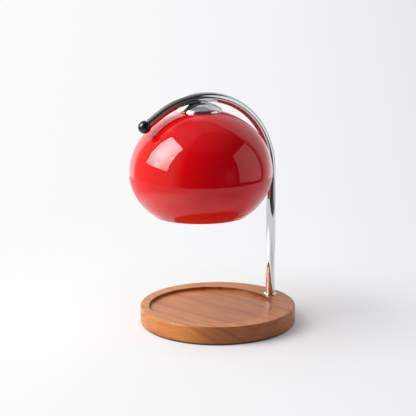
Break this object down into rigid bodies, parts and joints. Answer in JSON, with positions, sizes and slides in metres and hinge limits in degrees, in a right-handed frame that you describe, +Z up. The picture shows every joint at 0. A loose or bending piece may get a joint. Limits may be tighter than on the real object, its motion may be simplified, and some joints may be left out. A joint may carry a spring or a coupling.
{
  "type": "candle warmer lamp",
  "caption": "Table lamp that melts a scented candle from above: round wooden base with a seat, curved chrome arm that swings, ball knob, and a rounded red shade over a reflector bulb.",
  "frame": {"origin": "centre of the round base, on the underside of its pad, where the lamp rests", "axes": "+Z up, the stem stands at +X, the arm runs over the base towards -X, +Y completes the right-handed frame"},
  "size_m": [0.214, 0.2, 0.298],
  "materials": {
    "wood": "satin varnish over reddish brown grain",
    "pad": "matte black",
    "cover_steel": "satin black",
    "steel": "zinc plated",
    "chrome": "polished",
    "black_plastic": "matte black",
    "clear_plastic": "milky white",
    "brass": "turned",
    "lead_insulation": "white heat-proof sleeve",
    "ball_black": "gloss black",
    "red_enamel": "gloss red enamel",
    "holder_ceramic": "matte off-white",
    "bulb_ceramic": "glazed white",
    "reflector_silver": "dichroic silver",
    "lens_glass": "dimpled clear",
    "capsule_glass": "clear"
  },
  "bodies": {
    "base": {"base_board": "wood", "base_pad": "pad", "bottom_cover": "cover_steel", "cover_screws": "steel", "stem_bush": "chrome", "bush_washer": "steel", "bush_nut": "steel", "cord_gland": "black_plastic", "terminal_block": "clear_plastic", "terminal_screws": "brass", "block_screw": "steel", "base_leads": "lead_insulation"},
    "arm": {"arm_tube": "chrome", "stem_ferrule": "steel", "stop_pin": "steel", "wave_washer": "steel", "retaining_ring": "steel", "arm_cable": "lead_insulation", "arm_end_plug": "black_plastic", "ball_stud": "steel", "ball_knob": "ball_black", "hanger_stud": "steel", "dome_cap": "chrome", "shade": "red_enamel", "crown_washers": "steel", "shade_nuts": "steel", "holder_bracket": "steel", "holder_screws": "steel", "holder_nuts": "steel", "lamp_holder": "holder_ceramic", "holder_contacts": "brass"},
    "bulb": {"bulb_pins": "brass", "bulb_base": "bulb_ceramic", "bulb_reflector": "reflector_silver", "bulb_lens": "lens_glass", "bulb_capsule": "capsule_glass"}
  },
  "joints": [
    {"name": "arm_swing", "type": "hinge", "parent": "base", "child": "arm", "pos_m": [0.081, 0, 0.0235], "axis": [0, 0, 1], "range_deg": [-40, 40]},
    {"name": "bulb_twist", "type": "hinge", "parent": "arm", "child": "bulb", "pos_m": [-0.024, 0, 0.2334], "axis": [0, 0, 1], "range_deg": [-35, 0]}
  ]
}
